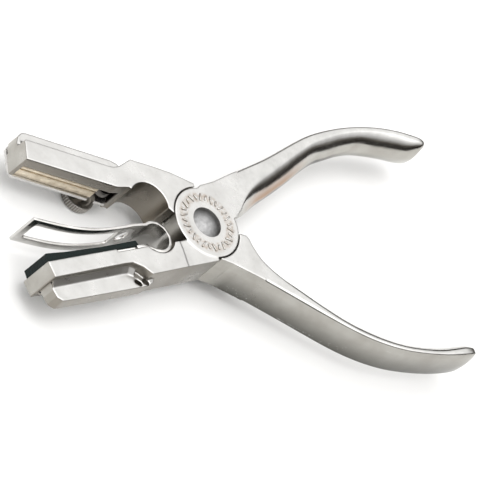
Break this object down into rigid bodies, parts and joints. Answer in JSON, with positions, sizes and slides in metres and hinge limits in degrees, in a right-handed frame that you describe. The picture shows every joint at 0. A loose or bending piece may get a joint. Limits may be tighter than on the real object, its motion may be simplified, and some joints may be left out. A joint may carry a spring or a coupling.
{
  "type": "ear tattoo pliers",
  "caption": "Plier-type ear tattoo tongs: riveted forged arms, a die channel with swinging keeper and thumbscrew, a rubber-padded jaw and a sprung window-frame ear releaser.",
  "frame": {"origin": "on the pivot axis, in the plane of the forgings' back face", "axes": "+Z along the pivot towards the front face, -X to the jaws, +X to the handles, +Y to the die jaw side"},
  "size_m": [0.2263, 0.1077, 0.0266],
  "materials": {
    "nickel_forging": "nickel plated forging, satin to bright",
    "nickel_plate": "nickel plated turned and stamped steel",
    "spring_sheet": "plated spring sheet",
    "rivet_steel": "dull grey steel",
    "die_metal": "pale warm nickel brass",
    "pad_rubber": "dark green-black rubber"
  },
  "bodies": {
    "anvil_side": {"anvil_arm": "nickel_forging", "pivot_rivet": "rivet_steel", "anvil_pad": "pad_rubber", "releaser_curl": "spring_sheet", "releaser_screw": "rivet_steel"},
    "die_side": {"die_arm": "nickel_forging", "keeper_pivot_screw": "nickel_plate", "die_spring": "rivet_steel", "die_blank_1": "die_metal", "die_blank_2": "die_metal", "die_blank_3": "die_metal", "die_blank_4": "die_metal", "die_blank_5": "die_metal", "die_blank_6": "die_metal"},
    "releaser": {"releaser_frame": "spring_sheet"},
    "keeper": {"keeper_plate": "nickel_plate"},
    "thumb": {"thumbscrew": "nickel_plate"}
  },
  "joints": [
    {"name": "jaw_hinge", "type": "hinge", "parent": "anvil_side", "child": "die_side", "pos_m": [0, 0, 0], "axis": [0, 0, 1], "range_deg": [0, 23]},
    {"name": "releaser_flex", "type": "hinge", "parent": "anvil_side", "child": "releaser", "pos_m": [-0.029, -0.0091, 0], "axis": [0, 0, 1], "range_deg": [0, 10.5]},
    {"name": "keeper_swing", "type": "hinge", "parent": "die_side", "child": "keeper", "pos_m": [-0.08192, 0.02792, 0], "axis": [0, 0, 1], "range_deg": [0, 80]},
    {"name": "thumbscrew_turn", "type": "hinge", "parent": "die_side", "child": "thumb", "pos_m": [-0.04467, 0.02039, 0], "axis": [0, 0, 1], "continuous": true}
  ],
  "couplings": [
    {"joint": "releaser_flex", "follows": "jaw_hinge", "ratio": 0.45}
  ]
}
